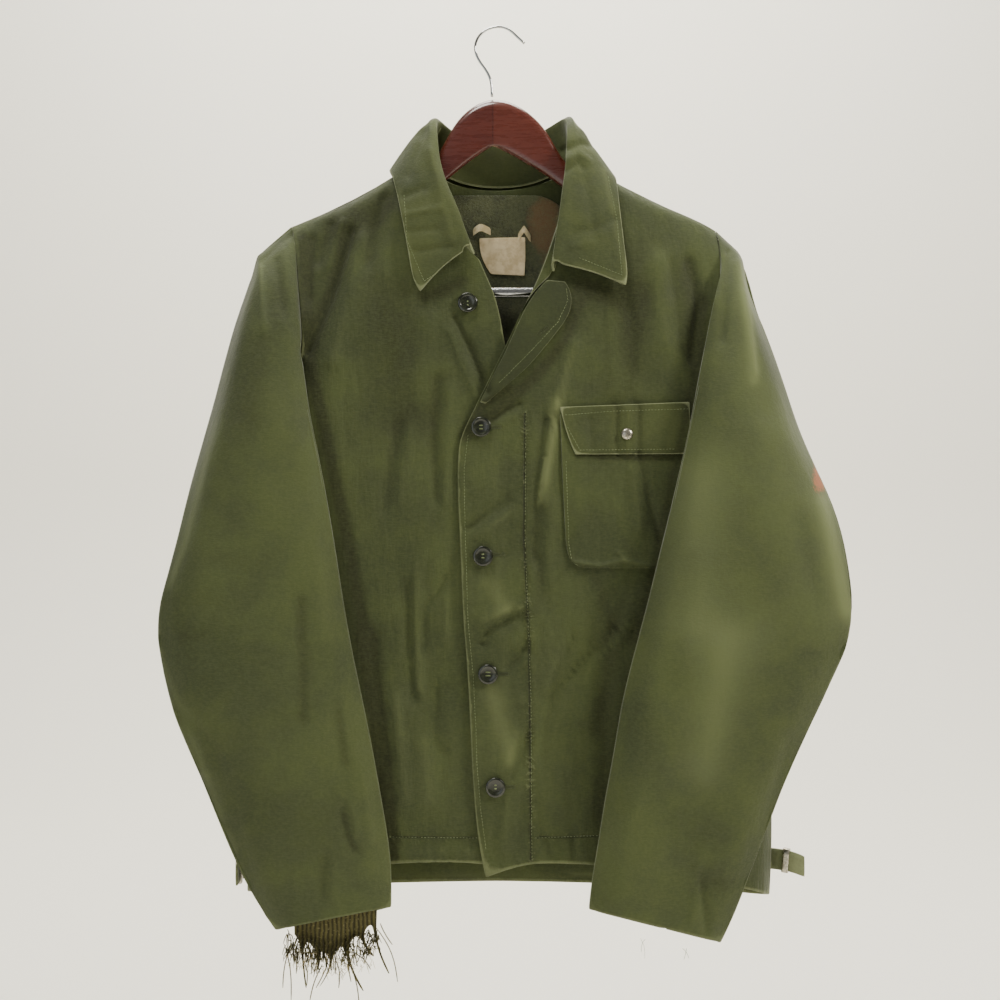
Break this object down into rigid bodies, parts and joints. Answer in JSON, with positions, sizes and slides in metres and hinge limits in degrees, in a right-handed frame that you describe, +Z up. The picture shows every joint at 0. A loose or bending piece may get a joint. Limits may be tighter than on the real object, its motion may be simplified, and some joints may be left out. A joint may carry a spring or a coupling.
{
  "type": "deck jacket and clothes hanger",
  "caption": "Worn olive deck jacket with a turned-down collar and a flapped chest pocket, open at the neck on a wooden hanger.",
  "frame": {"origin": "The highest point inside the hanger's hook, where the hook rests on what it hangs from.", "axes": "+Z points up along the hanging jacket, -Y points out of its front, and +X points to the wearer's left."},
  "size_m": [0.6563, 0.1286, 0.9255],
  "materials": {
    "olive_cotton_sateen": "matte",
    "grey_green_pile": "matte",
    "cream_cotton": "matte",
    "dark_olive_knit": "matte",
    "olive_plastic": "gloss",
    "nickel": "gloss",
    "polished_steel": "gloss",
    "stained_wood": "satin"
  },
  "bodies": {
    "root": {"back": "olive_cotton_sateen", "front_right": "olive_cotton_sateen", "front_left": "olive_cotton_sateen", "lapel": "olive_cotton_sateen", "collar": "olive_cotton_sateen", "sleeve_right_top": "olive_cotton_sateen", "sleeve_right_under": "olive_cotton_sateen", "sleeve_left_top": "olive_cotton_sateen", "sleeve_left_under": "olive_cotton_sateen", "pocket": "olive_cotton_sateen", "pocket_flap": "olive_cotton_sateen", "side_strap_left": "olive_cotton_sateen", "side_strap_right": "olive_cotton_sateen", "back_lining": "grey_green_pile", "label": "cream_cotton", "tape_right": "cream_cotton", "tape_left": "cream_cotton", "torn_wristlet": "dark_olive_knit", "button_1": "olive_plastic", "button_2": "olive_plastic", "button_3": "olive_plastic", "button_4": "olive_plastic", "button_5": "olive_plastic", "snap": "nickel", "slide_left": "nickel", "slide_right": "nickel", "hanger_hook": "polished_steel", "hanger_bar": "polished_steel", "hanger_wood": "stained_wood"}
  },
  "joints": []
}
